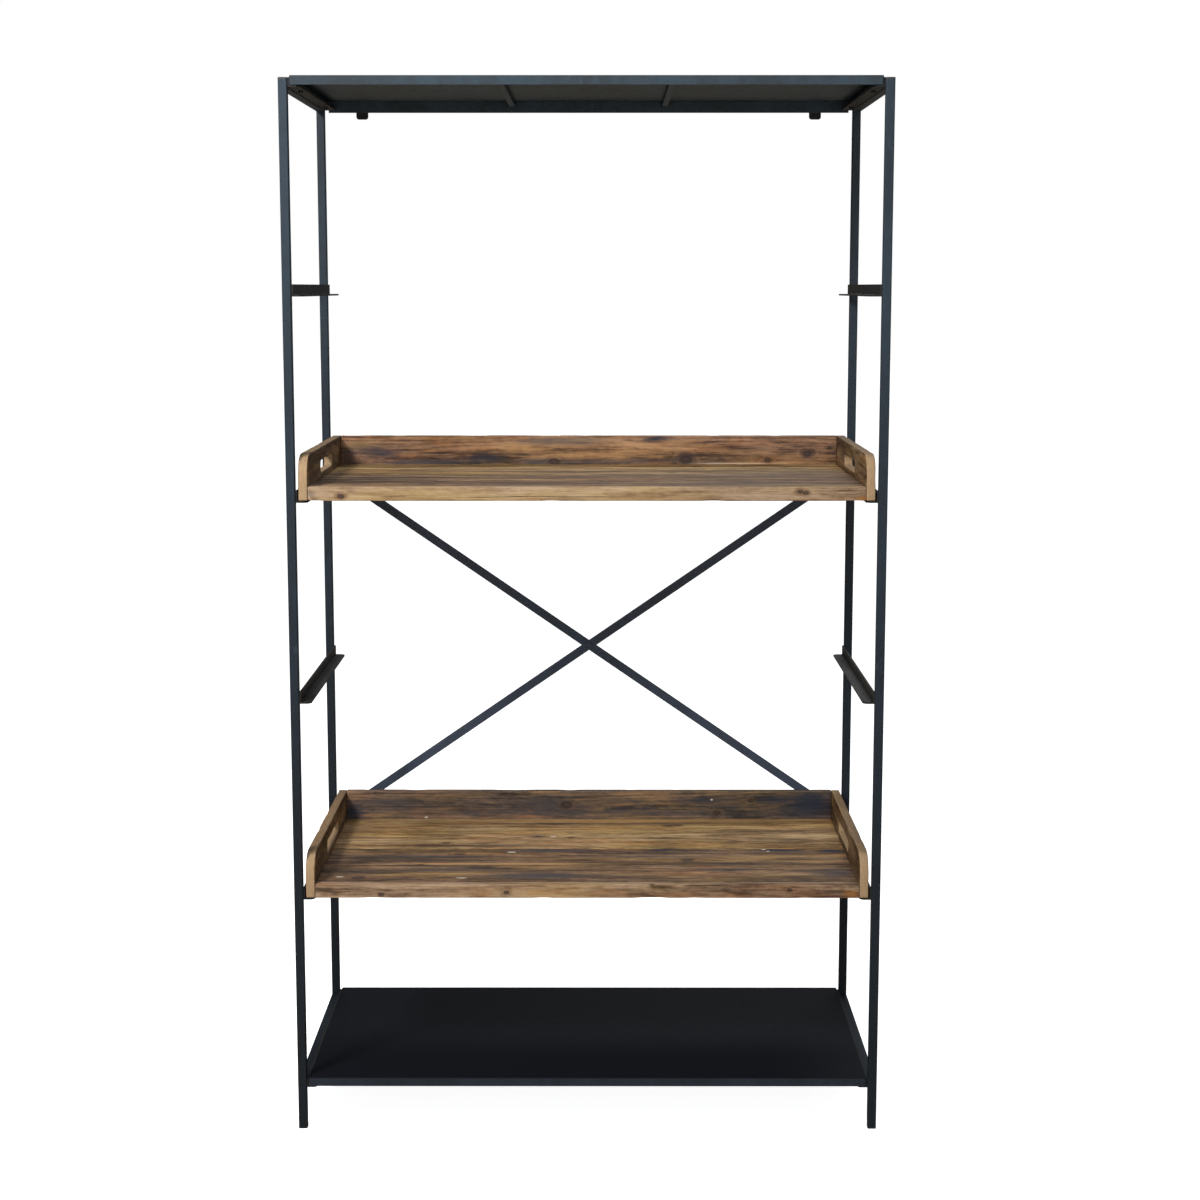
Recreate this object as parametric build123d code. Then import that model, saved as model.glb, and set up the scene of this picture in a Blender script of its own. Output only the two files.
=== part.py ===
from build123d import *
import math
import os

# Steel-framed bookcase. Wooden trays sit on pairs of angle brackets and can be moved between levels.
# Millimetres. +X is to the right of a person facing the front, +Y to the back, +Z up.
# The origin is the centre of the footprint, on the floor.

# A cutter reaches this far past the surface that it cuts
PAST = 1.0

# Whole object
WIDTH = 1000.0
DEPTH = 500.0
PANEL_TOP = 1783.0
POST_TOP = 1780.0

# Square tube of the uprights and side rails
TUBE = 15.0
TUBE_WALL = 1.5
TUBE_CORNER = 2.0
BORE = TUBE - 2 * TUBE_WALL
BORE_CORNER = 0.5
INSERT_FLANGE = 3.0
INSERT_ROUND = 1.0
INSERT_PLUG = 16.0

# The brace and its rivets stand behind the uprights, inside the overall depth
BAR_THICK = 2.0
BAR_WIDTH = 16.0
RIVET_HEAD = 2.0
FRONT = -DEPTH / 2
BACK = DEPTH / 2 - RIVET_HEAD - 2 * BAR_THICK
MID_Y = (FRONT + BACK) / 2
POST_X = WIDTH / 2 - TUBE / 2
INNER_X = WIDTH / 2 - TUBE
FRONT_POST_Y = FRONT + TUBE / 2
REAR_POST_Y = BACK - TUBE / 2
BOTTOM_RAIL = 69.0

# Angle brackets: a flat leg that carries a shelf and a standing leg welded to the uprights
ANGLE_THICK = 3.0
ANGLE_LEG = 20.0
SHORT_LEG = 15.0
ANGLE_END_GAP = 3.0
ANGLE_CHAMFER = 6.0
SHELF_HOLE = 2.5
HOLE_X = 474.0
HOLE_HALF_PITCH = 165.0
LEVEL_COUNT = 4
FIRST_LEVEL = 408.0
LEVEL_PITCH = 340.0

# Folded sheet panels at the top and the base
PANEL_DEEP = 15.0
REAR_RIM = 22.0
SHEET = 2.0
PANEL_GAP = 0.5
PANEL_ROUND = 1.5
PANEL_CORNER = 3.0
RETURN_LIP = 15.0
PANEL_HALF = INNER_X - ANGLE_THICK - PANEL_GAP
BASE_TOP = 92.0
BASE_LEVEL = BASE_TOP - PANEL_DEEP - ANGLE_THICK
TOP_LEVEL = PANEL_TOP - PANEL_DEEP - ANGLE_THICK
RIB = 10.0
RIB_WALL = 1.0
RIB_X = 140.0

# Lugs on the back edge of the top panel
LUG_X = 417.0
LUG_WIDTH = 22.0
LUG_LOW = 1749.0
LUG_CORNER = 5.0

# Brace across the back
BRACE_MID = 768.0
BRACE_RISE = 339.0
BRACE_X = WIDTH / 2 - BAR_WIDTH / 2
RIVET_SHANK = 2.5
RIVET_RADIUS = 5.5
RIVET_ROUND = 1.2
CENTRE_RIVET_RADIUS = 6.5
RIVET_TAIL = 3.0
TAIL_RADIUS = 4.0

# Screws that hold the two sheet panels to their brackets
PANEL_SCREW = 2.0
SCREW_HEAD_RADIUS = 4.0
SCREW_HEAD_ROUND = 0.8
SCREW_HEAD = 3.5
SCREW_PROUD = 4.0

# Trays
TRAY_HALF = 480.0
TRAY_HEIGHT = 77.0
TRAY_FRONT = -249.5
TRAY_BACK = 238.0
TRAY_LIFT = 0.3
END_THICK = 16.0
BACK_THICK = 18.0
FLOOR_THICK = 24.0
STRIP_DEEP = 20.0
PLANK_COUNT = 4
END_CORNER = 40.0
END_REAR_CORNER = 6.0
SLOT_LONG = 165.0
SLOT_HIGH = 20.0
SLOT_MID_Y = 10.0
SLOT_UP = 9.0
TRAY_SCREW = 1.75
TRAY_SCREW_LONG = 45.0
TRAY_SCREW_HEAD = 3.5
TRAY_SCREW_HEAD_DEEP = 2.5
SCREW_INSET = 25.0


def block(x0, x1, y0, y1, z0, z1):
    """A box between two corners."""
    centre = Pos((x0 + x1) / 2, (y0 + y1) / 2, (z0 + z1) / 2)
    return centre * Box(x1 - x0, y1 - y0, z1 - z0)


def rod(radius, start, end):
    """A round bar from one point to another."""
    axis = Vector(*end) - Vector(*start)
    return Plane(origin=start, z_dir=axis) * Cylinder(
        radius, axis.length, align=(Align.CENTER, Align.CENTER, Align.MIN))


def tube_section():
    """Cross-section of the square tube."""
    return RectangleRounded(TUBE, TUBE, TUBE_CORNER) - RectangleRounded(BORE, BORE, BORE_CORNER)


def mirrored(part):
    """The same piece on the other side of the bookcase."""
    return mirror(part, about=Plane.YZ)


def save(name, part):
    """Write one named piece, or one group of like pieces."""
    export_step(part, "parts/" + name + ".step")


def rivet_spots(x_sign, z_sign):
    """Where a brace end meets the centre line of a rear upright."""
    return x_sign * BRACE_X, BRACE_MID + z_sign * BRACE_RISE


def upright(x, y, is_rear):
    """One corner tube; a rear one is drilled for the two brace rivets."""
    long = POST_TOP - 2 * INSERT_FLANGE
    post = Pos(x, y, INSERT_FLANGE) * extrude(tube_section(), long)
    if is_rear:
        for z_sign in (-1, 1):
            spot = rivet_spots(math.copysign(1, x), z_sign)
            post -= rod(RIVET_SHANK, (spot[0], BACK - TUBE / 2, spot[1]), (spot[0], BACK + PAST, spot[1]))
    return post


def side_rail(x, z_low):
    """A tube that joins the front and rear uprights of one side frame."""
    section = Plane(origin=(x, FRONT + TUBE, z_low + TUBE / 2), z_dir=(0, 1, 0)) * tube_section()
    return extrude(section, BACK - FRONT - 2 * TUBE, dir=(0, 1, 0))


def angle(level, standing_leg, hole):
    """The right-hand angle bracket of one level, with a hole near each end."""
    y0 = FRONT + ANGLE_END_GAP
    y1 = BACK - ANGLE_END_GAP
    toe = INNER_X - ANGLE_LEG
    outline = Polyline(
        (INNER_X, y0), (INNER_X, y1), (toe + ANGLE_CHAMFER, y1), (toe, y1 - ANGLE_CHAMFER),
        (toe, y0 + ANGLE_CHAMFER), (toe + ANGLE_CHAMFER, y0), close=True)
    part = extrude(Pos(0, 0, level) * make_face(outline), ANGLE_THICK)
    part += block(INNER_X - ANGLE_THICK, INNER_X, y0, y1, level, level + standing_leg)
    for end in (-1, 1):
        y = MID_Y + end * HOLE_HALF_PITCH
        part -= rod(hole, (HOLE_X, y, level - PAST), (HOLE_X, y, level + ANGLE_THICK + PAST))
    return part


def sheet_panel(top):
    """A folded sheet panel: a flat top, a rim that is deeper at the back, and a lip at each side."""
    low = top - PANEL_DEEP
    skin = block(-PANEL_HALF, PANEL_HALF, FRONT, BACK, low, top)
    skin = fillet(skin.edges().filter_by(Axis.Z), PANEL_CORNER)
    skin = fillet(skin.faces().sort_by(Axis.Z)[-1].edges(), PANEL_ROUND)
    inner = PANEL_HALF - SHEET
    skin -= block(-inner, inner, FRONT + SHEET, BACK - SHEET, low - PAST, top - SHEET)
    flat = PANEL_HALF - PANEL_CORNER
    skin += block(-flat, flat, BACK - SHEET, BACK, top - REAR_RIM, low + PAST)
    for side in (-1, 1):
        near = side * (PANEL_HALF - RETURN_LIP)
        far = side * (PANEL_HALF - SHEET / 2)
        skin += block(min(near, far), max(near, far), FRONT + SHEET, BACK - SHEET, low, low + SHEET)
        for end in (-1, 1):
            y = MID_Y + end * HOLE_HALF_PITCH
            skin -= rod(PANEL_SCREW, (side * HOLE_X, y, low - PAST), (side * HOLE_X, y, low + SHEET + PAST))
    return skin


def rib(x, top):
    """A small square tube welded under a sheet panel from rim to rim."""
    section = Rectangle(RIB, RIB) - Rectangle(RIB - 2 * RIB_WALL, RIB - 2 * RIB_WALL)
    place = Plane(origin=(x, FRONT + SHEET, top - SHEET - RIB / 2), z_dir=(0, 1, 0))
    return extrude(place * section, BACK - FRONT - 2 * SHEET, dir=(0, 1, 0))


def panel_screws(level):
    """Four screws that come up through the bracket holes into the panel's lips."""
    screws = []
    for side in (-1, 1):
        for end in (-1, 1):
            x = side * HOLE_X
            y = MID_Y + end * HOLE_HALF_PITCH
            head = rod(SCREW_HEAD_RADIUS, (x, y, level - SCREW_HEAD), (x, y, level))
            head = fillet(head.faces().sort_by(Axis.Z)[0].edges(), SCREW_HEAD_ROUND)
            shank_top = level + ANGLE_THICK + SHEET + SCREW_PROUD
            screws.append(head + rod(PANEL_SCREW, (x, y, level), (x, y, shank_top)))
    return Compound(screws)


def lug(x):
    """A flat plain lug with rounded lower corners, on the back of the top panel."""
    part = block(x - LUG_WIDTH / 2, x + LUG_WIDTH / 2, BACK, BACK + BAR_THICK, LUG_LOW, PANEL_TOP - SHEET)
    lower = part.edges().filter_by(Axis.Y).group_by(Axis.Z)[0]
    return fillet(lower, LUG_CORNER)


def brace_bar(z_sign, y_front):
    """A flat bar from one lower rivet to the opposite upper one, with round ends and three holes."""
    length = 2 * math.hypot(BRACE_X, BRACE_RISE)
    tilt = math.degrees(math.atan2(z_sign * BRACE_RISE, BRACE_X))
    bar = SlotCenterToCenter(length, BAR_WIDTH)
    bar -= Circle(RIVET_SHANK)
    for end in (-1, 1):
        bar -= Pos(end * length / 2, 0) * Circle(RIVET_SHANK)
    place = Plane(origin=(0, y_front + BAR_THICK, BRACE_MID), x_dir=(1, 0, 0), z_dir=(0, -1, 0))
    return extrude(place * Rot(0, 0, tilt) * bar, BAR_THICK, dir=(0, -1, 0))


def end_rivets():
    """The four rivets that fix the brace ends through the back walls of the rear uprights."""
    rivets = []
    inside = BACK - TUBE_WALL
    for x_sign in (-1, 1):
        for z_sign in (-1, 1):
            x, z = rivet_spots(x_sign, z_sign)
            outside = BACK + 2 * BAR_THICK
            tail = rod(TAIL_RADIUS, (x, inside - RIVET_TAIL, z), (x, inside, z))
            shank = rod(RIVET_SHANK, (x, inside, z), (x, outside, z))
            head = rod(RIVET_RADIUS, (x, outside, z), (x, outside + RIVET_HEAD, z))
            head = fillet(head.faces().sort_by(Axis.Y)[-1].edges(), RIVET_ROUND)
            rivets.append(tail + shank + head)
    return Compound(rivets)


def centre_rivet():
    """The rivet through both bars where they cross."""
    back = BACK + 2 * BAR_THICK
    shank = rod(RIVET_SHANK, (0, BACK, BRACE_MID), (0, back, BRACE_MID))
    for y, out in ((BACK, -1), (back, 1)):
        head = rod(CENTRE_RIVET_RADIUS, (0, y, BRACE_MID), (0, y + out * RIVET_HEAD, BRACE_MID))
        outer = head.faces().sort_by(Axis.Y)[0 if out < 0 else -1]
        shank += fillet(outer.edges(), RIVET_ROUND)
    return shank


def brace_washers():
    """Washers that fill the bar-thick gap at each end of both bars."""
    washers = []
    for x_sign in (-1, 1):
        for z_sign in (-1, 1):
            x, z = rivet_spots(x_sign, z_sign)
            y = BACK if x_sign * z_sign < 0 else BACK + BAR_THICK
            ring = rod(RIVET_RADIUS, (x, y, z), (x, y + BAR_THICK, z))
            washers.append(ring - rod(RIVET_SHANK, (x, y - PAST, z), (x, y + BAR_THICK + PAST, z)))
    return Compound(washers)


def inserts(at_top):
    """Plastic plugs pushed into the four upright ends, with a flange the size of the tube."""
    plugs = []
    for x in (-POST_X, POST_X):
        for y in (FRONT_POST_Y, REAR_POST_Y):
            flange = extrude(RectangleRounded(TUBE, TUBE, TUBE_CORNER), INSERT_FLANGE)
            flange = fillet(flange.faces().sort_by(Axis.Z)[0].edges(), INSERT_ROUND)
            plug = extrude(RectangleRounded(BORE, BORE, BORE_CORNER), INSERT_PLUG)
            part = flange + Pos(0, 0, INSERT_FLANGE) * plug
            if at_top:
                part = Pos(0, 0, POST_TOP) * Rot(180, 0, 0) * part
            plugs.append(Pos(x, y, 0) * part)
    return Compound(plugs)


def tray_end(z_low, holes):
    """The right-hand end board: round upper corners and a hand slot."""
    board = block(TRAY_HALF - END_THICK, TRAY_HALF, TRAY_FRONT, TRAY_BACK, z_low, z_low + TRAY_HEIGHT)
    upper = board.edges().filter_by(Axis.X).group_by(Axis.Z)[-1].sort_by(Axis.Y)
    board = fillet(upper[0], END_CORNER)
    upper = board.edges().filter_by(Axis.X).group_by(Axis.Z)[-1].sort_by(Axis.Y)
    board = fillet(upper[-1], END_REAR_CORNER)
    slot_z = z_low + FLOOR_THICK + SLOT_UP + SLOT_HIGH / 2
    place = Plane(origin=(TRAY_HALF - 2 * END_THICK, SLOT_MID_Y, slot_z), x_dir=(0, 1, 0), z_dir=(1, 0, 0))
    board -= extrude(place * SlotOverall(SLOT_LONG, SLOT_HIGH), 3 * END_THICK)
    return board - holes


def tray_screw(y, z):
    """One countersunk screw driven through the right-hand end board."""
    head_in = TRAY_HALF - TRAY_SCREW_HEAD_DEEP
    shank = rod(TRAY_SCREW, (TRAY_HALF - TRAY_SCREW_LONG, y, z), (head_in, y, z))
    cone = Plane(origin=(head_in, y, z), z_dir=(1, 0, 0)) * Cone(
        TRAY_SCREW, TRAY_SCREW_HEAD, TRAY_SCREW_HEAD_DEEP, align=(Align.CENTER, Align.CENTER, Align.MIN))
    return shank + cone


def tray(name, level):
    """One tray: two end boards, a back board, floor planks, a front strip and its screws."""
    z_low = level + ANGLE_THICK + TRAY_LIFT
    floor_top = z_low + FLOOR_THICK
    inner = TRAY_HALF - END_THICK
    strip_back = TRAY_FRONT + STRIP_DEEP
    board_front = TRAY_BACK - BACK_THICK
    plank = (board_front - strip_back) / PLANK_COUNT

    floor_z = z_low + FLOOR_THICK / 2
    spots = [(TRAY_FRONT + STRIP_DEEP / 2, floor_z)]
    for index in range(PLANK_COUNT):
        for edge in (SCREW_INSET, plank - SCREW_INSET):
            spots.append((strip_back + index * plank + edge, floor_z))
    for up in (SCREW_INSET, TRAY_HEIGHT - SCREW_INSET):
        spots.append((TRAY_BACK - BACK_THICK / 2, z_low + up))
    right_screws = Compound([tray_screw(y, z) for y, z in spots])
    left_screws = mirrored(right_screws)

    save(name + "_right_end", tray_end(z_low, right_screws))
    save(name + "_left_end", mirrored(tray_end(z_low, right_screws)))
    rows = [("front_strip", TRAY_FRONT, strip_back, floor_top)]
    for index in range(PLANK_COUNT):
        start = strip_back + index * plank
        rows.append(("plank_" + str(index + 1), start, start + plank, floor_top))
    rows.append(("back_board", board_front, TRAY_BACK, z_low + TRAY_HEIGHT))
    for label, y0, y1, top in rows:
        board = block(-inner, inner, y0, y1, z_low, top)
        save(name + "_" + label, board - right_screws - left_screws)
    save(name + "_screws", Compound(right_screws.solids() + left_screws.solids()))


def frame():
    """Everything that is welded, riveted or screwed to the four uprights."""
    for side, x in (("left", -POST_X), ("right", POST_X)):
        save("front_" + side + "_upright", upright(x, FRONT_POST_Y, False))
        save("rear_" + side + "_upright", upright(x, REAR_POST_Y, True))
        save(side + "_bottom_rail", side_rail(x, BOTTOM_RAIL))
        save(side + "_top_rail", side_rail(x, POST_TOP - INSERT_FLANGE - TUBE))

    levels = [("base", BASE_LEVEL, SHORT_LEG, PANEL_SCREW), ("top", TOP_LEVEL, SHORT_LEG, PANEL_SCREW)]
    for index in range(LEVEL_COUNT):
        levels.append(("level_" + str(index + 1), FIRST_LEVEL + index * LEVEL_PITCH, ANGLE_LEG, SHELF_HOLE))
    for label, level, leg, hole in levels:
        save("right_angle_" + label, angle(level, leg, hole))
        save("left_angle_" + label, mirrored(angle(level, leg, hole)))

    for label, top, level in (("top", PANEL_TOP, TOP_LEVEL), ("base", BASE_TOP, BASE_LEVEL)):
        save(label + "_panel", sheet_panel(top))
        save(label + "_left_rib", rib(-RIB_X, top))
        save(label + "_right_rib", rib(RIB_X, top))
        save(label + "_screws", panel_screws(level))

    save("left_rear_lug", lug(-LUG_X))
    save("right_rear_lug", lug(LUG_X))
    save("brace_bar_rising", brace_bar(1, BACK))
    save("brace_bar_falling", brace_bar(-1, BACK + BAR_THICK))
    save("brace_end_rivets", end_rivets())
    save("brace_centre_rivet", centre_rivet())
    save("brace_washers", brace_washers())
    save("foot_inserts", inserts(False))
    save("tube_caps", inserts(True))


os.makedirs("parts", exist_ok=True)
frame()
tray("lower_tray", FIRST_LEVEL)
tray("upper_tray", FIRST_LEVEL + 2 * LEVEL_PITCH)
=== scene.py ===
import math

import bpy
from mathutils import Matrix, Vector, noise


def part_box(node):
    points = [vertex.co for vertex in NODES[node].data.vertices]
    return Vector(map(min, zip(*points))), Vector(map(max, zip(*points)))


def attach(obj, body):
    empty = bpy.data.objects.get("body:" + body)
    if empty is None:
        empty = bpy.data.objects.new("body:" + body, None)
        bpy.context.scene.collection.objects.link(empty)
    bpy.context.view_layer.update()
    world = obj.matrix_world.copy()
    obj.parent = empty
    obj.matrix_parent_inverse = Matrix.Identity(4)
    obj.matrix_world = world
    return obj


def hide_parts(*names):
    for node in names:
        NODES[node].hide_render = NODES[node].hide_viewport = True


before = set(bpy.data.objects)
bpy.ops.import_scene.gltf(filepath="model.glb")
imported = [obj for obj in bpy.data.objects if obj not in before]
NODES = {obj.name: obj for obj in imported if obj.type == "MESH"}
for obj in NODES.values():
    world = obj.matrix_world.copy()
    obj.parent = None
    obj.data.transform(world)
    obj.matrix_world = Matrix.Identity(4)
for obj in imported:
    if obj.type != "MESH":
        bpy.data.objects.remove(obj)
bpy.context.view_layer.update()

MM = 0.001


# ---------------------------------------------------------------- node graphs

class Graph:
    """Short calls that build one material's node tree."""

    def __init__(self, name):
        self.material = bpy.data.materials.new(name)
        self.material.use_nodes = True
        self.tree = self.material.node_tree
        self.tree.nodes.clear()
        self.shader = self.tree.nodes.new("ShaderNodeBsdfPrincipled")
        output = self.tree.nodes.new("ShaderNodeOutputMaterial")
        self.join(self.shader.outputs[0], output.inputs["Surface"])
        self.place = self.tree.nodes.new("ShaderNodeTexCoord").outputs["Object"]

    def join(self, source, socket):
        """Link a socket, or set it when the source is a plain value."""
        if isinstance(source, bpy.types.NodeSocket):
            self.tree.links.new(source, socket)
        elif isinstance(source, (tuple, list)) and len(source) == 3 and len(socket.default_value) == 4:
            socket.default_value = (*source, 1.0)
        else:
            socket.default_value = source

    def maths(self, operation, a, b=0.0, clamp=False):
        node = self.tree.nodes.new("ShaderNodeMath")
        node.operation = operation
        node.use_clamp = clamp
        for value, socket in zip((a, b), node.inputs):
            self.join(value, socket)
        return node.outputs[0]

    def vector(self, operation, a, b=(0, 0, 0), c=(0, 0, 0)):
        node = self.tree.nodes.new("ShaderNodeVectorMath")
        node.operation = operation
        for value, socket in zip((a, b, c), node.inputs):
            self.join(value, socket)
        return node.outputs["Value"] if operation == "LENGTH" else node.outputs[0]

    def combine(self, x, y, z):
        node = self.tree.nodes.new("ShaderNodeCombineXYZ")
        for value, socket in zip((x, y, z), node.inputs):
            self.join(value, socket)
        return node.outputs[0]

    def split(self, vector):
        node = self.tree.nodes.new("ShaderNodeSeparateXYZ")
        self.join(vector, node.inputs[0])
        return tuple(node.outputs)

    def noise(self, vector, stretch, detail=3.0, rough=0.5, distort=0.0):
        """Noise whose features are 1 / stretch metres long on each axis."""
        node = self.tree.nodes.new("ShaderNodeTexNoise")
        self.join(self.vector("MULTIPLY", vector, stretch), node.inputs["Vector"])
        node.inputs["Scale"].default_value = 1.0
        node.inputs["Detail"].default_value = detail
        node.inputs["Roughness"].default_value = rough
        node.inputs["Distortion"].default_value = distort
        return node.outputs["Fac"]

    def fade(self, value, low, high, to_low=0.0, to_high=1.0):
        """A smooth step between two values."""
        node = self.tree.nodes.new("ShaderNodeMapRange")
        node.interpolation_type = "SMOOTHSTEP"
        for item, socket in zip((value, low, high, to_low, to_high), node.inputs):
            self.join(item, socket)
        return node.outputs[0]

    def ramp(self, value, stops):
        node = self.tree.nodes.new("ShaderNodeValToRGB")
        elements = node.color_ramp.elements
        for index, (position, colour) in enumerate(stops):
            element = elements[index] if index < 2 else elements.new(position)
            element.position = position
            element.color = (*colour, 1.0)
        self.join(value, node.inputs[0])
        return node.outputs[0]

    def mix(self, share, a, b, blend="MIX"):
        node = self.tree.nodes.new("ShaderNodeMix")
        node.data_type = "RGBA"
        node.blend_type = blend
        self.join(share, node.inputs["Factor"])
        self.join(a, node.inputs[6])
        self.join(b, node.inputs[7])
        return node.outputs[2]

    def bump(self, height, depth):
        """Surface relief; depth is in metres."""
        node = self.tree.nodes.new("ShaderNodeBump")
        node.inputs["Strength"].default_value = 1.0
        node.inputs["Distance"].default_value = depth
        self.join(height, node.inputs["Height"])
        return node.outputs[0]

    def spot(self, vector, centre, radii):
        """Distance from a centre, measured so that 1 is on the ellipsoid of those radii."""
        scale = tuple(1 / r for r in radii)
        shift = tuple(-c / r for c, r in zip(centre, radii))
        return self.vector("LENGTH", self.vector("MULTIPLY_ADD", vector, scale, shift))

    def finish(self, colour, roughness, normal, **settings):
        self.join(colour, self.shader.inputs["Base Color"])
        self.join(roughness, self.shader.inputs["Roughness"])
        self.join(normal, self.shader.inputs["Normal"])
        for key, value in settings.items():
            self.shader.inputs[key.replace("_", " ")].default_value = value
        return self.material


# ---------------------------------------------------------------- materials

# Painted shade: the tubes' colour is darkened from this height down to the floor, for the weaker light low
# down
FULL_COLOUR_HEIGHT = 1.7


def steel(name, cool, warm, scuff, roughness=0.46, specular=0.16, seed=0.0, foot=1.0, painted_shade_above=None):
    """Dark lacquered steel: mottled mill scale under a thin coat, faint brush lines, rubbed spots.
    foot is its share of full colour at the floor, as painted shade for the weaker light low down; above
    painted_shade_above the coat is painted a dull near-black, as painted shade for a top face that lies in
    shade."""
    g = Graph(name)
    place = g.vector("ADD", g.place, (seed, seed * 0.7, seed * 1.3))
    cloud = g.noise(place, (9, 9, 5), 4, 0.6, 0.4)
    mottle = g.noise(place, (70, 70, 45), 3, 0.65, 0.8)
    grit = g.noise(place, (900, 900, 900), 2, 0.5)
    blend = g.maths("ADD", g.maths("MULTIPLY", cloud, 0.7), g.maths("MULTIPLY", mottle, 0.3))
    colour = g.mix(g.fade(blend, 0.36, 0.62), cool, warm)
    rubbed = g.fade(g.noise(place, (24, 24, 16), 5, 0.72, 1.2), 0.60, 0.74, 0.0, 0.55)
    colour = g.mix(rubbed, colour, scuff)
    line = g.fade(g.noise(place, (260, 260, 6), 3, 0.6), 0.62, 0.72, 0.0, 0.16)
    colour = g.mix(line, colour, scuff)
    height = g.split(g.place)[2]
    # Painted shade: above this height the coat is painted a dull near-black, for the shade the base panel's
    # top face lies in under the lower tray
    if painted_shade_above is not None:
        painted_shade_colour = g.mix(mottle, (0.0028, 0.0034, 0.0056), (0.0056, 0.0068, 0.0105))
        colour = g.mix(g.fade(height, painted_shade_above - 0.6 * MM, painted_shade_above), colour, painted_shade_colour)
    # Painted shade: the colour is darkened towards the floor, where the light is weaker
    if foot < 1.0:
        shade = g.fade(height, 0.0, FULL_COLOUR_HEIGHT, foot, 1.0)
        colour = g.mix(1.0, colour, g.combine(shade, shade, shade), "MULTIPLY")
    shine = g.maths("ADD", roughness - 0.1, g.maths("MULTIPLY", mottle, 0.2))
    relief = g.maths("ADD", g.maths("MULTIPLY", mottle, 0.6), g.maths("MULTIPLY", grit, 0.25))
    normal = g.bump(relief, 0.12 * MM)
    return g.finish(colour, shine, normal, Specular_IOR_Level=specular)


def plastic(name):
    """Black moulded plastic with a fine spark-eroded grain."""
    g = Graph(name)
    grain = g.noise(g.place, (1400, 1400, 1400), 2, 0.6)
    dust = g.fade(g.noise(g.place, (90, 90, 90), 4, 0.7), 0.55, 0.75)
    colour = g.mix(dust, (0.012, 0.012, 0.013), (0.035, 0.034, 0.033))
    shine = g.maths("ADD", 0.48, g.maths("MULTIPLY", grain, 0.2))
    return g.finish(colour, shine, g.bump(grain, 0.05 * MM))


def zinc(name):
    """Dull yellow-grey plated screws."""
    g = Graph(name)
    cloud = g.noise(g.place, (300, 300, 300), 4, 0.6)
    colour = g.mix(cloud, (0.42, 0.38, 0.30), (0.20, 0.19, 0.17))
    shine = g.maths("ADD", 0.28, g.maths("MULTIPLY", cloud, 0.3))
    return g.finish(colour, shine, g.bump(cloud, 0.04 * MM), Metallic=1.0)


# Stains and paint on the wood, and the colours of the painted shadows in the back boards' left corners
NAVY = (0.020, 0.026, 0.040)
SMOKE = (0.055, 0.050, 0.052)
RUST = (0.130, 0.045, 0.018)
RESIN = (0.300, 0.125, 0.030)
CHALK = (0.600, 0.560, 0.480)
# Used only for painted shadow: the left end board's shadow in the upper back board's left corner
PAINTED_SHADOW_UMBER = (0.050, 0.030, 0.024)
OCHRE = (0.250, 0.165, 0.075)
AMBER = (0.400, 0.240, 0.105)
ASH = (0.120, 0.095, 0.078)

# Width of a year's ring
RING = 4.2 * MM


class Wood(Graph):
    """A board's node tree, with places measured along, across and through the board from its centre."""

    def __init__(self, name, axes, centre, seed):
        super().__init__(name)
        xyz = self.split(self.vector("SUBTRACT", self.place, tuple(centre)))
        self.along, self.across, self.deep = (xyz[i] for i in axes)
        board = self.combine(self.along, self.across, self.deep)
        self.grain = self.vector("ADD", board, (seed * 3.17, seed * 1.31, seed * 0.77))
        self.face = self.combine(self.along, self.across, 0.0)

    def wave(self, stretch, gain, *settings):
        """Noise round zero, in the grain."""
        noise_round_zero = self.maths("SUBTRACT", self.noise(self.grain, stretch, *settings), 0.5)
        return self.maths("MULTIPLY", noise_round_zero, gain)

    def oval(self, along, across, half_long, half_wide):
        """Distance from a place on the broad face, measured so that 1 is on an oval of that size."""
        return self.spot(self.face, (along, across, 0), (half_long, half_wide, 1))


def knot_marks(g, knots):
    """How far a place is in the disturbed grain round a knot, in its heart and in its bark."""
    halo = 0.0
    heart = 0.0
    bark = 0.0
    wobble = g.wave((60, 90, 90), 0.9, 3, 0.6)
    for along, across, size in knots:
        gap = g.maths("ADD", g.oval(along, across, size * 1.5, size), wobble)
        halo = g.maths("MAXIMUM", halo, g.fade(gap, 0.7, 3.2, 1.0, 0.0))
        heart = g.maths("MAXIMUM", heart, g.fade(gap, 0.8, 1.15, 1.0, 0.0))
        edge = g.fade(g.maths("ABSOLUTE", g.maths("SUBTRACT", gap, 0.95)), 0.05, 0.60, 1.0, 0.0)
        bark = g.maths("MAXIMUM", bark, edge)
    return halo, heart, bark


def late_wood(g, pith, halo):
    """The dark part of each year's ring, round a wandering pith and pushed out by knots."""
    drift = g.noise(g.grain, (1.6, 9, 9), 2, 0.5)
    swirl = g.noise(g.grain, (7, 30, 30), 2, 0.5)
    bend = g.maths("ADD", g.maths("MULTIPLY", drift, 0.034), g.maths("MULTIPLY", swirl, 0.006))
    flat = g.combine(0.0, g.across, g.maths("SUBTRACT", g.deep, pith))
    radius = g.maths("ADD", g.vector("LENGTH", flat), bend)
    radius = g.maths("ADD", radius, g.maths("MULTIPLY", halo, 0.006))
    turns = g.maths("FRACT", g.maths("DIVIDE", radius, RING))
    return g.ramp(turns, [(0.0, (0.30,) * 3), (0.12, (0.05,) * 3), (0.45, (0.10,) * 3),
                          (0.80, (0.62,) * 3), (0.93, (1.0,) * 3), (1.0, (0.30,) * 3)])


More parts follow.
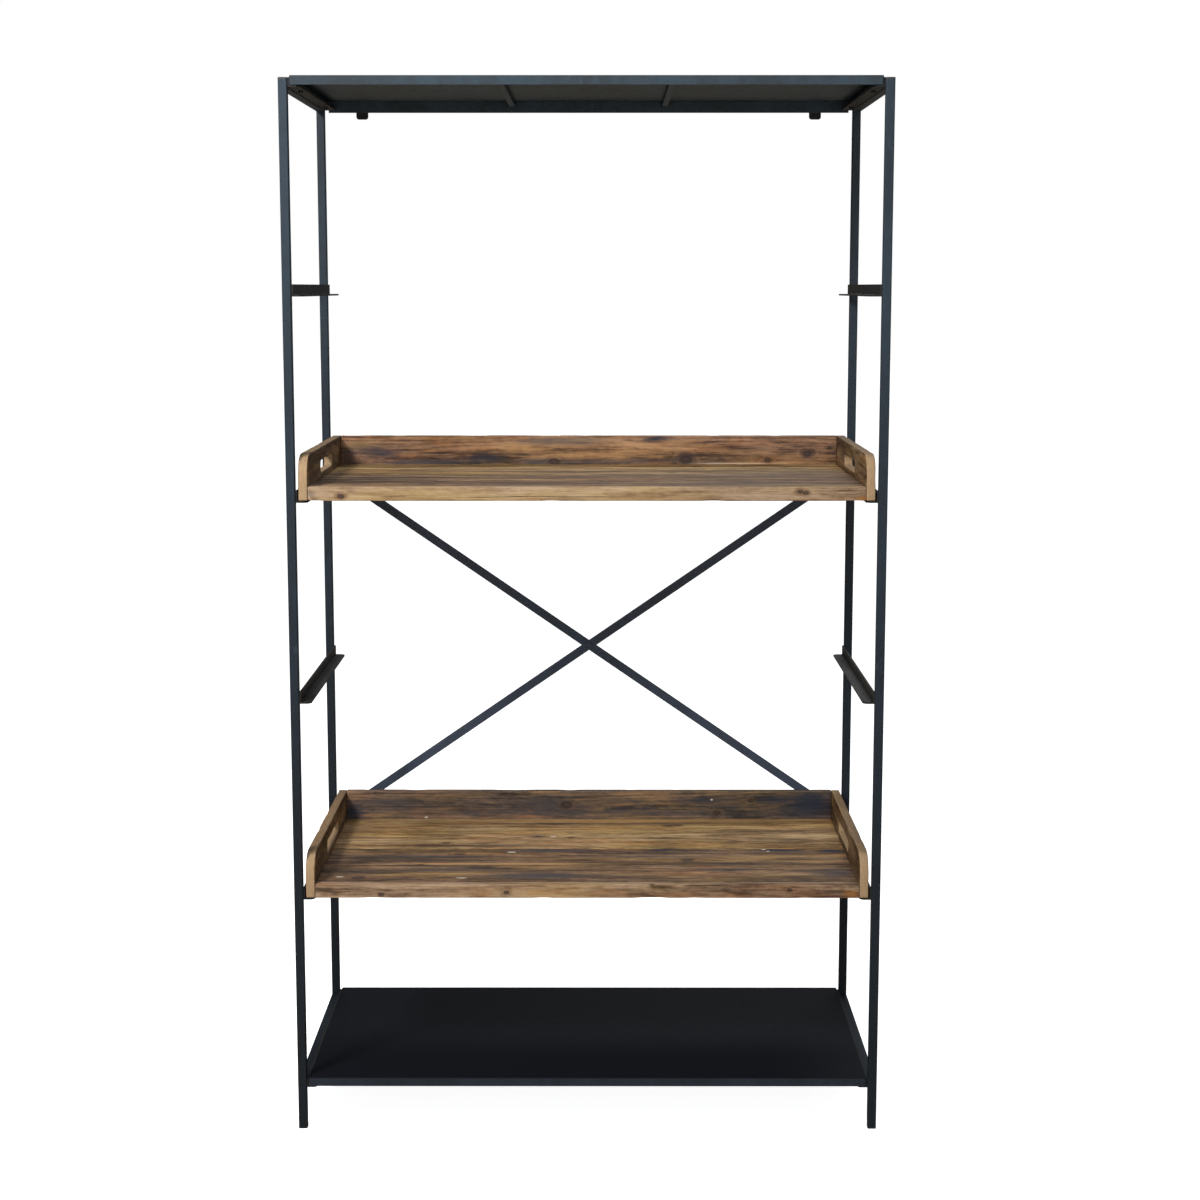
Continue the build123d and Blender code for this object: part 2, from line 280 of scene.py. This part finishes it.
def streaked(g, tones, streak, late):
    """The wood's own colour: broad patches, streaks, fine fibres and rings."""
    dark, middle, light = tones
    tone = g.maths("ADD", g.wave((1.4, 18, 18), 1.3, 3, 0.6, 0.4), g.maths("MULTIPLY", streak, 0.55))
    tone = g.maths("ADD", tone, g.wave((7, 44, 44), 1.5, 5, 0.66, 0.5))
    tone = g.maths("ADD", tone, g.wave((9, 420, 420), 1.0, 4, 0.72))
    tone = g.maths("ADD", tone, g.wave((60, 200, 200), 0.6, 3, 0.6))
    tone = g.maths("ADD", tone, g.maths("MULTIPLY", late, -0.20))
    tone = g.maths("ADD", tone, 0.27, clamp=True)
    deepest = tuple(v * 0.45 for v in dark)
    return g.ramp(tone, [(0.04, deepest), (0.24, dark), (0.52, middle), (0.86, light)])


def aged(g, colour, weathered, crack):
    """Reddish and honey-coloured patches, greyed patches and dark cracks."""
    flush = g.fade(g.noise(g.grain, (5, 26, 26), 4, 0.66, 0.8), 0.48, 0.66, 0.0, 0.6)
    colour = g.mix(flush, colour, (0.98, 0.72, 0.56), "MULTIPLY")
    honey = g.fade(g.noise(g.grain, (2.5, 16, 16), 3, 0.6, 0.4), 0.56, 0.38, 0.0, 0.7)
    colour = g.mix(honey, colour, (1.0, 0.96, 0.66), "MULTIPLY")
    grey = g.noise(g.grain, (7, 38, 38), 5, 0.72, 0.9)
    greyed = g.maths("MULTIPLY", g.fade(grey, 0.50, 0.68), weathered, clamp=True)
    colour = g.mix(greyed, colour, (0.070, 0.056, 0.052))
    return g.mix(crack, colour, (0.035, 0.020, 0.012))


def sawn_edges(g, colour, half_thick, half_wide):
    """Paler narrow faces, which are less pale along the upper edge."""
    pale = g.fade(g.maths("ABSOLUTE", g.deep), half_thick - 1.6 * MM, half_thick - 0.3 * MM, 0.85, 0.0)
    pale = g.maths("MULTIPLY", pale, g.fade(g.across, half_wide - 7 * MM, half_wide - 1 * MM, 1.0, 0.45))
    fresh = g.mix(g.noise(g.grain, (90, 90, 500), 3, 0.6), (0.24, 0.145, 0.075), (0.44, 0.320, 0.195))
    return g.mix(pale, colour, fresh)


def stain_and_shadow(g, colour, smears, ragged):
    # Ovals of colour: stains, and also the painted shadows that some boards' lists give
    for along, across, half_long, half_wide, tint, strength in smears:
        gap = g.maths("ADD", g.oval(along, across, half_long, half_wide), ragged)
        colour = g.mix(g.fade(gap, 0.15, 1.35, strength, 0.0), colour, tint)
    return colour


def knotted(g, colour, halo, heart, bark):
    colour = g.mix(g.maths("MULTIPLY", halo, 0.42), colour, (0.090, 0.048, 0.030))
    core = g.mix(g.noise(g.grain, (300, 300, 300), 3, 0.6), (0.020, 0.016, 0.017), (0.070, 0.046, 0.036))
    colour = g.mix(g.maths("MULTIPLY", heart, 0.75), colour, core)
    return g.mix(g.maths("MULTIPLY", bark, 0.45), colour, (0.016, 0.012, 0.012))


def paint_chips(g, flecks, ragged):
    """Where flecks of old paint are left."""
    chips = 0.0
    for along, across, half_long, half_wide in flecks:
        gap = g.maths("ADD", g.oval(along, across, half_long, half_wide), g.maths("MULTIPLY", ragged, 0.35))
        chips = g.maths("MAXIMUM", chips, g.fade(gap, 0.6, 0.95, 0.85, 0.0))
    return chips


def pine(name, axes, centre, tones, seed, weathered, pith=-0.045, knots=(), smears=(), flecks=(), sawn=None):
    """Reclaimed pine. axes are the board's grain, width and thickness axes, as indexes of X, Y and Z.
    tones are the dark, middle and light colours of its streaks. knots are (along, across, radius),
    smears (along, across, half length, half width, colour, strength), which are stains and
    also painted shadows, and flecks of old paint (along, across, half length, half width), in metres from
    the board's centre. sawn is the half thickness and half width of a board whose narrow faces are paler
    than its broad ones."""
    g = Wood(name, axes, centre, seed)
    halo, heart, bark = knot_marks(g, knots)
    late = late_wood(g, pith, halo)
    fibre = g.noise(g.grain, (14, 700, 700), 3, 0.6)
    streak = g.noise(g.grain, (2.2, 95, 95), 5, 0.72, 0.25)
    crack = g.fade(g.noise(g.grain, (4, 240, 240), 3, 0.6, 0.2), 0.63, 0.68, 0.0, 0.8)
    ragged = g.wave((20, 90, 90), 1.7, 5, 0.68, 0.6)

    colour = streaked(g, tones, streak, late)
    colour = aged(g, colour, weathered, crack)
    if sawn:
        colour = sawn_edges(g, colour, *sawn)
    colour = stain_and_shadow(g, colour, smears, ragged)
    colour = knotted(g, colour, halo, heart, bark)
    chips = paint_chips(g, flecks, ragged)
    colour = g.mix(chips, colour, CHALK)

    shine = g.maths("ADD", 0.54, g.maths("MULTIPLY", streak, 0.26))
    shine = g.maths("SUBTRACT", shine, g.maths("MULTIPLY", heart, 0.08))
    relief = g.maths("ADD", g.maths("MULTIPLY", late, -0.35), g.maths("MULTIPLY", fibre, 0.45))
    relief = g.maths("SUBTRACT", relief, g.maths("MULTIPLY", crack, 0.9))
    relief = g.maths("ADD", relief, g.maths("MULTIPLY", chips, 0.6))
    return g.finish(colour, shine, g.bump(relief, 0.35 * MM), Specular_IOR_Level=0.10)


# ---------------------------------------------------------------- meshes

def make_object(name, points, faces, material):
    mesh = bpy.data.meshes.new(name)
    mesh.from_pydata(points, [], faces)
    mesh.polygons.foreach_set("use_smooth", [True] * len(mesh.polygons))
    mesh.materials.append(material)
    mesh.update()
    thing = bpy.data.objects.new(name, mesh)
    bpy.context.scene.collection.objects.link(thing)
    return thing


def stand_for(piece, node, body):
    """The piece rides on a body and hides the CAD node."""
    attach(piece, body)
    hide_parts(node)


def spread(start, end, step):
    """Evenly spaced values from start to end, both included, about a step apart."""
    count = max(1, round(abs(end - start) / step))
    return [start + (end - start) * i / count for i in range(count + 1)]


def worn(point, outward, edge, seed):
    """A point of a board's surface pushed in by hand-planed waves, and more on a knocked edge."""
    where = Vector((point[0] * 9, point[1] * 9, point[2] * 9)) + Vector((seed, -seed, seed * 0.5))
    wave = (0.5 + 0.5 * noise.noise(where)) * 0.35 * MM
    fine = (0.5 + 0.5 * noise.noise(where * 6.0)) * 0.15 * MM
    knock = max(0.0, noise.noise(where * 3.1 + Vector((7, 3, 1))) - 0.15) * 2.6 * MM * edge
    return Vector(point) - Vector(outward) * (wave + fine + knock)


def rounded_outline(corners, turn, step):
    """Points round an outline with round corners, as (p, q, outward p, outward q, share of edge).
    corners are (centre p, centre q, radius, start angle); turn is in degrees and step in metres."""
    ring = []
    for index, (p, q, radius, start) in enumerate(corners):
        for degrees in range(0, 91, turn):
            angle = math.radians(start + degrees)
            out_p, out_q = math.cos(angle), math.sin(angle)
            ring.append((p + out_p * radius, q + out_q * radius, out_p, out_q, 1.0))
        next_p, next_q, next_radius, _ = corners[(index + 1) % len(corners)]
        last_p, last_q, out_p, out_q, _ = ring[-1]
        run_p = next_p + out_p * next_radius - last_p
        run_q = next_q + out_q * next_radius - last_q
        count = max(1, round(math.hypot(run_p, run_q) / step))
        for i in range(1, count):
            share = i / count
            ring.append((last_p + run_p * share, last_q + run_q * share, out_p, out_q, 0.0))
    return ring


# Radius of a sawn board's long edges, and the size of its mesh's faces
EASE = 1.3 * MM
BOARD_STEP = 9 * MM


def board_rings(low, high, axes):
    """Where a board's cross-sections stand along the grain, and how far each is drawn in."""
    start, end = low[axes[0]], high[axes[0]]
    ease = [(0.0, EASE), (0.3 * EASE, 0.3 * EASE), (EASE, 0.0)]
    places = [(start + forward, inset) for forward, inset in ease]
    places += [(place, 0.0) for place in spread(start + EASE, end - EASE, BOARD_STEP)[1:-1]]
    places += [(end - forward, inset) for forward, inset in reversed(ease)]
    return places


def board(name, node, axes, material, seed, gap=0.0, drop=0.0):
    """A sawn board with eased, knocked edges. gap is the space left on each side across its width;
    drop lowers its upper face."""
    low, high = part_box(node)
    a, b, c = axes
    low[b] += gap
    high[b] -= gap
    high[c] -= drop
    corners = [(high[b] - EASE, high[c] - EASE, EASE, 0), (low[b] + EASE, high[c] - EASE, EASE, 90),
               (low[b] + EASE, low[c] + EASE, EASE, 180), (high[b] - EASE, low[c] + EASE, EASE, 270)]
    ring = rounded_outline(corners, 30, BOARD_STEP)
    points = []
    for place, inset in board_rings(low, high, axes):
        for p, q, out_p, out_q, edge in ring:
            point = [0.0, 0.0, 0.0]
            point[a], point[b], point[c] = place, p - out_p * inset, q - out_q * inset
            outward = [0.0, 0.0, 0.0]
            outward[b], outward[c] = out_p, out_q
            points.append(worn(point, outward, edge, seed))

    size = len(ring)
    rings = len(points) // size
    faces = [tuple(range(size)), tuple(reversed(range((rings - 1) * size, rings * size)))]
    for r in range(rings - 1):
        for i in range(size):
            j = (i + 1) % size
            faces.append((r * size + i, (r + 1) * size + i, (r + 1) * size + j, r * size + j))
    right_handed = (a, b, c) in ((0, 1, 2), (1, 2, 0), (2, 0, 1))
    if not right_handed:
        faces = [tuple(reversed(face)) for face in faces]
    return make_object(name, points, faces, material)


# A tray's end board: its rounded edges, corners and hand slot
END_EDGE = 2.2 * MM
FRONT_CORNER = 40 * MM
REAR_CORNER = 6 * MM
FOOT_CORNER = 3 * MM
END_STEP = 8 * MM
SLOT_LONG = 165 * MM
SLOT_RADIUS = 10 * MM
SLOT_MID_Y = 10 * MM
SLOT_LOW = 33 * MM
SLOT_WEAR = 0.6
QUARTER = [math.radians(t) for t in (0, 30, 60, 90)]
FACE_SHARES = (0.12, 0.3, 0.5, 0.7, 0.88)


def edge_point(x, side, wall, outward, angle):
    """A point and its normal on the round edge between a face at x and a wall that faces outward."""
    inset = END_EDGE * (1 - math.sin(angle))
    back = END_EDGE * (1 - math.cos(angle))
    point = (x - side * inset, wall[0] - outward[0] * back, wall[1] - outward[1] * back)
    return point, (side * math.sin(angle), outward[0] * math.cos(angle), outward[1] * math.cos(angle))


def end_face(x, side, hole, away, rim, out):
    """Points from the slot's wall over the face at x to the rim, as (point, normal, share of edge)."""
    towards_slot = (-away[0], -away[1])
    line = [(*edge_point(x, side, hole, towards_slot, angle), SLOT_WEAR) for angle in QUARTER]
    inner = (hole[0] + away[0] * END_EDGE, hole[1] + away[1] * END_EDGE)
    outer = (rim[0] - out[0] * END_EDGE, rim[1] - out[1] * END_EDGE)
    for share in FACE_SHARES:
        y = inner[0] + (outer[0] - inner[0]) * share
        z = inner[1] + (outer[1] - inner[1]) * share
        line.append(((x, y, z), (side, 0, 0), 0.0))
    line += [(*edge_point(x, side, rim, out, angle), 1.0) for angle in reversed(QUARTER)]
    return line


def end_board(name, node, material, seed):
    """A tray's end board with round upper corners and a hand slot right through it."""
    low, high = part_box(node)
    corners = [(high.y - REAR_CORNER, high.z - REAR_CORNER, REAR_CORNER, 0),
               (low.y + FRONT_CORNER, high.z - FRONT_CORNER, FRONT_CORNER, 90),
               (low.y + FOOT_CORNER, low.z + FOOT_CORNER, FOOT_CORNER, 180),
               (high.y - FOOT_CORNER, low.z + FOOT_CORNER, FOOT_CORNER, 270)]
    slot_reach = SLOT_LONG / 2 - SLOT_RADIUS
    slot_z = low.z + SLOT_LOW + SLOT_RADIUS
    columns = []
    for y, z, out_y, out_z, _ in rounded_outline(corners, 10, END_STEP):
        near_y = min(max(y, SLOT_MID_Y - slot_reach), SLOT_MID_Y + slot_reach)
        away = Vector((y - near_y, z - slot_z)).normalized()
        hole = (near_y + away.x * SLOT_RADIUS, slot_z + away.y * SLOT_RADIUS)
        loop = end_face(high.x, 1, hole, away, (y, z), (out_y, out_z))
        loop += reversed(end_face(low.x, -1, hole, away, (y, z), (out_y, out_z)))
        columns.append([worn(point, normal, edge, seed) for point, normal, edge in loop])

    count, size = len(columns), len(columns[0])
    points = [point for column in columns for point in column]
    faces = []
    for i in range(count):
        for j in range(size):
            ni, nj = (i + 1) % count, (j + 1) % size
            faces.append((i * size + j, ni * size + j, ni * size + nj, i * size + nj))
    return make_object(name, points, faces, material)


# ---------------------------------------------------------------- trays

GRAIN_X_FLAT = (0, 1, 2)
GRAIN_X_UPRIGHT = (0, 2, 1)
GRAIN_Y_UPRIGHT = (1, 2, 0)

UPPER_BACK = ((0.095, 0.055, 0.038), (0.240, 0.134, 0.080), (0.38, 0.225, 0.125))
LOWER_BACK = ((0.055, 0.042, 0.036), (0.125, 0.085, 0.064), (0.250, 0.150, 0.088))
STRAW = ((0.13, 0.080, 0.040), (0.285, 0.185, 0.090), (0.50, 0.355, 0.190))
OLIVE = ((0.10, 0.060, 0.030), (0.235, 0.148, 0.070), (0.42, 0.285, 0.140))
TAWNY = ((0.060, 0.040, 0.028), (0.160, 0.096, 0.056), (0.320, 0.205, 0.112))
RUSSET = ((0.050, 0.034, 0.025), (0.145, 0.086, 0.050), (0.300, 0.188, 0.102))
STRIP = ((0.18, 0.115, 0.070), (0.275, 0.188, 0.118), (0.38, 0.280, 0.185))
AGED_STRIP = ((0.16, 0.100, 0.062), (0.275, 0.185, 0.116), (0.37, 0.268, 0.178))
END = ((0.045, 0.026, 0.013), (0.105, 0.062, 0.031), (0.215, 0.140, 0.074))


def centre_of(node):
    low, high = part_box(node)
    return (low + high) / 2


def tray_board(tray, part, axes, seed, tones, **details):
    node = tray + "_" + part
    shape = {key: details.pop(key) for key in ("gap", "drop") if key in details}
    wood = pine(node + "_pine", axes, centre_of(node), tones, seed, **details)
    piece = board(node + "_wood", node, axes, wood, seed, **shape)
    stand_for(piece, node, tray)


def tray_end(tray, side, seed, **details):
    node = tray + "_" + side + "_end"
    low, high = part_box(node)
    sawn = ((high.x - low.x) / 2, (high.z - low.z) / 2)
    wood = pine(node + "_pine", GRAIN_Y_UPRIGHT, centre_of(node), END, seed, pith=-0.09, sawn=sawn, **details)
    piece = end_board(node + "_wood", node, wood, seed)
    stand_for(piece, node, tray)


# Half of the open seam between two planks
SEAM = 0.35 * MM


def upper_tray():
    tray = "upper_tray"
    tray_board(tray, "back_board", GRAIN_X_UPRIGHT, 1.0, UPPER_BACK, weathered=0.35,
               knots=[(-0.064, -0.010, 0.005), (0.182, -0.006, 0.007), (0.335, -0.007, 0.0035),
                      (0.409, 0.005, 0.005), (0.450, 0.016, 0.0025)],
               # The first two marks here are painted shadow: the left end board's shadow in the back board's
               # left corner
               smears=[(-0.452, -0.004, 0.018, 0.024, PAINTED_SHADOW_UMBER, 0.8), (-0.435, -0.016, 0.028, 0.012, PAINTED_SHADOW_UMBER, 0.7),
                       (-0.415, 0.022, 0.050, 0.010, OCHRE, 0.5), (-0.390, 0.010, 0.055, 0.013, NAVY, 0.75),
                       (-0.296, -0.012, 0.100, 0.008, SMOKE, 0.8), (-0.190, -0.004, 0.045, 0.011, NAVY, 0.75),
                       (-0.085, -0.010, 0.070, 0.008, SMOKE, 0.8), (0.125, 0.032, 0.035, 0.006, NAVY, 0.95),
                       (-0.060, 0.028, 0.110, 0.009, ASH, 0.65), (0.05, -0.010, 0.22, 0.007, SMOKE, 0.6),
                       (0.335, -0.006, 0.030, 0.010, RUST, 0.5), (0.409, 0.004, 0.022, 0.010, NAVY, 0.6),
                       (0.182, -0.002, 0.022, 0.009, NAVY, 0.55),
                       (0.270, -0.0135, 0.100, 0.0012, CHALK, 0.5)])
    planks = [("plank_4", 2.0, STRAW, 0.30), ("plank_3", 3.0, OLIVE, 0.35),
              ("plank_2", 4.0, TAWNY, 0.40), ("plank_1", 5.0, RUSSET, 0.50)]
    for index, (part, seed, tones, age) in enumerate(planks):
        tray_board(tray, part, GRAIN_X_FLAT, seed, tones, weathered=age, gap=SEAM,
                   drop=(0.1 + 0.25 * (index % 2)) * MM,
                   knots=[(-0.15 * index + 0.2, 0.01 * index, 0.005), (0.36 - 0.21 * index, -0.02, 0.004)])
    tray_board(tray, "front_strip", GRAIN_X_UPRIGHT, 6.0, STRIP, weathered=0.1,
               knots=[(-0.409, -0.004, 0.0035), (0.354, 0.004, 0.003), (0.364, 0.002, 0.003)],
               smears=[(-0.409, -0.004, 0.012, 0.005, RUST, 0.7), (0.357, 0.002, 0.014, 0.008, RUST, 0.5),
                       (-0.462, 0.0, 0.010, 0.006, SMOKE, 0.5), (0.460, -0.008, 0.012, 0.005, RESIN, 0.8)])
    tray_end(tray, "left", 7.0, weathered=0.3)
    tray_end(tray, "right", 8.0, weathered=0.3)


def lower_tray():
    tray = "lower_tray"
    tray_board(tray, "back_board", GRAIN_X_UPRIGHT, 11.0, LOWER_BACK, weathered=0.60,
               knots=[(-0.043, 0.012, 0.006), (0.245, -0.004, 0.004), (0.310, 0.020, 0.003)],
               smears=[(0.425, 0.010, 0.055, 0.030, NAVY, 0.9), (0.36, 0.022, 0.05, 0.010, NAVY, 0.7),
                       # The two marks on the next line are painted shadow: the left end board's shadow in the
                       # back board's left corner
                       (-0.452, -0.006, 0.024, 0.026, NAVY, 0.85), (-0.425, -0.020, 0.030, 0.010, NAVY, 0.7),
                       (0.080, 0.004, 0.045, 0.006, NAVY, 0.6),
                       (0.220, 0.020, 0.060, 0.010, NAVY, 0.75), (0.273, 0.006, 0.025, 0.006, NAVY, 0.6),
                       (-0.060, 0.010, 0.110, 0.018, SMOKE, 0.6), (-0.200, -0.004, 0.120, 0.006, SMOKE, 0.6),
                       (0.10, -0.004, 0.30, 0.005, SMOKE, 0.6), (-0.36, 0.010, 0.08, 0.016, SMOKE, 0.5)],
               flecks=[(-0.312, -0.0125, 0.004, 0.002), (0.235, 0.022, 0.003, 0.002)])
    tray_board(tray, "plank_4", GRAIN_X_FLAT, 12.0, OLIVE, weathered=0.35, gap=SEAM, drop=0.1 * MM,
               knots=[(0.150, -0.001, 0.005), (0.168, 0.002, 0.004)],
               smears=[(0.10, 0.040, 0.42, 0.016, AMBER, 0.6), (0.15, 0.014, 0.34, 0.006, SMOKE, 0.7),
                       (0.155, 0.0, 0.04, 0.012, RUST, 0.4)])
    tray_board(tray, "plank_3", GRAIN_X_FLAT, 13.0, STRAW, weathered=0.25, gap=SEAM, drop=0.2 * MM,
               knots=[(-0.260, -0.018, 0.005), (-0.093, 0.029, 0.004), (-0.032, 0.023, 0.004)],
               smears=[(-0.032, 0.023, 0.03, 0.008, RUST, 0.5), (-0.093, 0.029, 0.02, 0.006, SMOKE, 0.6)],
               flecks=[(-0.066, 0.029, 0.007, 0.003)])
    tray_board(tray, "plank_2", GRAIN_X_FLAT, 14.0, TAWNY, weathered=0.55, gap=SEAM, drop=0.45 * MM,
               knots=[(-0.231, 0.015, 0.005), (0.177, -0.024, 0.007)],
               smears=[(-0.070, 0.042, 0.090, 0.014, SMOKE, 0.85), (0.350, 0.046, 0.055, 0.016, NAVY, 0.95),
                       (0.134, 0.048, 0.030, 0.008, NAVY, 0.85), (0.441, 0.038, 0.030, 0.016, NAVY, 0.85),
                       (-0.30, 0.0, 0.15, 0.010, SMOKE, 0.6), (0.1, 0.0, 0.2, 0.010, SMOKE, 0.6),
                       (-0.16, -0.050, 0.19, 0.007, AMBER, 0.7)],
               flecks=[(-0.138, 0.030, 0.010, 0.004), (0.318, 0.050, 0.006, 0.004),
                       (0.325, 0.038, 0.004, 0.003)])
    tray_board(tray, "plank_1", GRAIN_X_FLAT, 15.0, TAWNY, weathered=0.50, gap=SEAM, drop=0.15 * MM,
               knots=[(-0.395, -0.030, 0.007), (0.248, 0.020, 0.005)],
               smears=[(-0.080, -0.015, 0.100, 0.020, SMOKE, 0.9), (0.240, 0.020, 0.060, 0.014, SMOKE, 0.8),
                       (0.430, 0.0, 0.045, 0.030, SMOKE, 0.7), (-0.25, 0.02, 0.12, 0.012, SMOKE, 0.6)],
               flecks=[(-0.217, -0.032, 0.012, 0.003), (-0.428, -0.026, 0.009, 0.003)])
    tray_board(tray, "front_strip", GRAIN_X_UPRIGHT, 16.0, AGED_STRIP, weathered=0.15,
               knots=[(-0.352, -0.006, 0.0025), (-0.138, -0.002, 0.003), (0.345, 0.002, 0.0025)],
               smears=[(0.450, -0.004, 0.016, 0.008, RESIN, 0.6)])
    tray_end(tray, "left", 17.0, weathered=0.35)
    tray_end(tray, "right", 18.0, weathered=0.35)


# ---------------------------------------------------------------- steel frame

def dress(node, material, bevel=0.0):
    """Give a CAD node its material and, when bevel is given, a small rolled edge."""
    thing = NODES[node]
    for slot in thing.material_slots:
        slot.material = material
    if not thing.material_slots:
        thing.data.materials.append(material)
    if bevel:
        round_over = thing.modifiers.new("rolled_edge", "BEVEL")
        round_over.width = bevel
        round_over.segments = 2
        round_over.limit_method = "ANGLE"
        round_over.angle_limit = math.radians(40)
        round_over.harden_normals = True


def steelwork():
    # The tubes get painted shade: their colour darkens towards the floor
    tube = steel("tube_lacquer", (0.020, 0.032, 0.046), (0.016, 0.023, 0.032), (0.038, 0.057, 0.078),
                 foot=0.40)
    sheet = steel("sheet_lacquer", (0.026, 0.042, 0.058), (0.020, 0.028, 0.035), (0.045, 0.067, 0.090),
                  seed=3.0)
    # The base panel's top face gets painted shade: near-black, for the shade under the lower tray
    base = steel("base_lacquer", (0.022, 0.029, 0.040), (0.016, 0.021, 0.028), (0.034, 0.044, 0.060),
                 roughness=0.55, specular=0.07, seed=9.0, painted_shade_above=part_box("base_panel")[1].z - 0.8 * MM)
    angle = steel("angle_lacquer", (0.011, 0.012, 0.014), (0.019, 0.017, 0.015), (0.044, 0.042, 0.038),
                  roughness=0.52, seed=5.0)
    bar = steel("bar_lacquer", (0.046, 0.060, 0.092), (0.038, 0.048, 0.068), (0.066, 0.084, 0.116), seed=7.0)
    black = plastic("black_insert")
    blackened = steel("blackened_screw", (0.012, 0.012, 0.013), (0.018, 0.016, 0.015), (0.05, 0.05, 0.05),
                      seed=11.0)
    plated = zinc("plated_screw")
    for node in NODES:
        if node in ("top_screws", "base_screws"):
            dress(node, blackened)
        elif node == "base_panel":
            dress(node, base, 0.4 * MM)
        elif node.endswith(("_upright", "_rail")):
            dress(node, tube)
        elif node.endswith(("_panel", "_rib")):
            dress(node, sheet, 0.4 * MM)
        elif "_angle_" in node or node.endswith("_lug"):
            dress(node, angle, 0.5 * MM)
        elif node.startswith("brace_"):
            dress(node, bar, 0.3 * MM)
        elif node.endswith("_screws"):
            dress(node, plated)
        elif node in ("foot_inserts", "tube_caps"):
            dress(node, black)


# ---------------------------------------------------------------- studio

# The camera, in metres, millimetres and degrees
CAMERA_PLACE = (0.0282, -3.8683, 1.4433)
CAMERA_DOWN = 8.145
CAMERA_TURN = 0.10
CAMERA_LENS = 65.57
CAMERA_SENSOR = 36.0


def backdrop():
    """A white backdrop for the camera, and a dim bluish sky for every other ray."""
    world = bpy.data.worlds.new("studio")
    world.use_nodes = True
    bpy.context.scene.world = world
    tree = world.node_tree
    tree.nodes.clear()
    white = tree.nodes.new("ShaderNodeBackground")
    white.inputs["Color"].default_value = (1, 1, 1, 1)
    glow = tree.nodes.new("ShaderNodeBackground")
    glow.inputs["Color"].default_value = (0.90, 0.95, 1.0, 1)
    split = tree.nodes.new("ShaderNodeSeparateXYZ")
    tree.links.new(tree.nodes.new("ShaderNodeTexCoord").outputs["Generated"], split.inputs[0])
    rise = tree.nodes.new("ShaderNodeMapRange")
    settings = {"From Min": 0.1, "From Max": 0.9, "To Min": 0.05, "To Max": 0.34}
    for name, value in settings.items():
        rise.inputs[name].default_value = value
    tree.links.new(split.outputs["Z"], rise.inputs["Value"])
    tree.links.new(rise.outputs[0], glow.inputs["Strength"])
    path = tree.nodes.new("ShaderNodeLightPath")
    pick = tree.nodes.new("ShaderNodeMixShader")
    out = tree.nodes.new("ShaderNodeOutputWorld")
    tree.links.new(path.outputs["Is Camera Ray"], pick.inputs[0])
    tree.links.new(glow.outputs[0], pick.inputs[1])
    tree.links.new(white.outputs[0], pick.inputs[2])
    tree.links.new(pick.outputs[0], out.inputs[0])


def studio_floor():
    """A pale floor that is lifted to white for the camera and gives a warm bounce to the rest."""
    g = Graph("studio_floor")
    speck = g.noise(g.place, (2, 2, 2), 3, 0.5)
    seen = g.tree.nodes.new("ShaderNodeLightPath").outputs["Is Camera Ray"]
    colour = g.mix(seen, (0.56, 0.49, 0.40), g.mix(speck, (0.82, 0.82, 0.82), (0.86, 0.86, 0.86)))
    g.join((1.0, 1.0, 1.0), g.shader.inputs["Emission Color"])
    g.join(g.maths("MULTIPLY", seen, 0.92), g.shader.inputs["Emission Strength"])
    material = g.finish(colour, 0.9, g.bump(speck, 0.01 * MM), Specular_IOR_Level=0.0)
    half = 40.0
    floor = make_object("floor", [(-half, -half, 0), (half, -half, 0), (half, half, 0), (-half, half, 0)],
                        [(0, 1, 2, 3)], material)


def lamp(name, place, aim_height, power, width, colour):
    """A soft rectangular lamp, aimed at a height on the bookcase's middle line."""
    data = bpy.data.lights.new(name, "AREA")
    data.energy = power
    data.shape = "RECTANGLE"
    data.size, data.size_y = width
    data.color = colour
    thing = bpy.data.objects.new(name, data)
    thing.location = place
    thing.rotation_euler = (Vector((0, 0, aim_height)) - Vector(place)).to_track_quat("-Z", "Y").to_euler()
    bpy.context.scene.collection.objects.link(thing)


def lamps():
    lamp("key", (-1.6, -2.1, 2.8), 0.9, 108, (0.6, 0.6), (1.0, 0.98, 0.95))
    lamp("strip", (0.4, -2.6, 2.7), 0.9, 24, (3.2, 0.7), (0.96, 0.98, 1.0))
    lamp("front", (0.3, -4.3, 1.5), 0.9, 40, (3.0, 1.4), (0.94, 0.97, 1.0))
    lamp("back", (0.8, 2.4, 2.9), 1.0, 30, (2.0, 0.8), (0.95, 0.97, 1.0))


def camera():
    """The photograph's camera, solved from its perspective."""
    data = bpy.data.cameras.new("camera")
    data.lens = CAMERA_LENS
    data.sensor_width = CAMERA_SENSOR
    thing = bpy.data.objects.new("camera", data)
    thing.location = CAMERA_PLACE
    thing.rotation_euler = (math.radians(90 - CAMERA_DOWN), 0, math.radians(CAMERA_TURN))
    bpy.context.scene.collection.objects.link(thing)
    bpy.context.scene.camera = thing


upper_tray()
lower_tray()
steelwork()
bpy.context.scene.view_settings.view_transform = "Standard"
backdrop()
studio_floor()
lamps()
camera()
